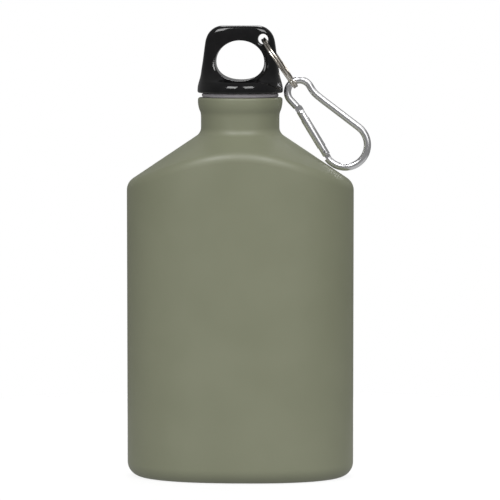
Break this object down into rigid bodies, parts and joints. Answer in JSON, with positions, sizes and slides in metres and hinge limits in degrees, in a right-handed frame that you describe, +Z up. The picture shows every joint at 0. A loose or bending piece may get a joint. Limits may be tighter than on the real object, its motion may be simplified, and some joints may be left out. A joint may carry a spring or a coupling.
{
  "type": "canteen",
  "caption": "Oval-section aluminium canteen with a conical shoulder, round screw neck, loop-handle screw cap, split ring and small sprung carabiner.",
  "frame": {"origin": "on the neck axis, in the plane of the foot rim that the bottle stands on", "axes": "+Z up along the neck axis, X along the wide side of the body with the carabiner at +X, -Y is the front"},
  "size_m": [0.1075, 0.06, 0.1991],
  "materials": {
    "olive_paint": "matt powder coat",
    "black_plastic": "gloss",
    "plug_plastic": "satin",
    "grey_silicone": "satin",
    "nickel_steel": "nickel plated",
    "polished_aluminium": "polished",
    "pin_steel": "bright"
  },
  "bodies": {
    "bottle": {"bottle_shell": "olive_paint"},
    "seal": {"neck_gasket": "grey_silicone"},
    "cap": {"cap_loop": "black_plastic", "threaded_plug": "plug_plastic"},
    "ring": {"split_ring": "nickel_steel"},
    "carabiner": {"carabiner_body": "polished_aluminium", "gate_pivot_rivet": "pin_steel"},
    "gate": {"carabiner_gate": "polished_aluminium", "latch_pin": "pin_steel", "gate_spring": "pin_steel", "gate_plunger": "pin_steel"}
  },
  "joints": [
    {"name": "cap_lift", "type": "slide", "parent": "bottle", "child": "seal", "axis": [0, 0, 1], "range_m": [0, 0.014]},
    {"name": "cap_turn", "type": "hinge", "parent": "seal", "child": "cap", "pos_m": [0, 0, 0.1677], "axis": [0, 0, 1], "range_deg": [0, 1260]},
    {"name": "ring_swing", "type": "hinge", "parent": "cap", "child": "ring", "pos_m": [0.0101, 0, 0.1932], "axis": [0, -1, 0], "range_deg": [0, 75]},
    {"name": "carabiner_swing", "type": "hinge", "parent": "ring", "child": "carabiner", "pos_m": [0.02605, 0, 0.16995], "axis": [0, -1, 0], "range_deg": [0, 80]},
    {"name": "gate_hinge", "type": "hinge", "parent": "carabiner", "child": "gate", "pos_m": [0.0269, 0, 0.1606], "axis": [0, -1, 0], "range_deg": [0, 26], "stiffness_Nm_per_rad": 0.03}
  ],
  "couplings": [
    {"joint": "cap_turn", "follows": "cap_lift", "rad_per_m": 1570.8}
  ]
}
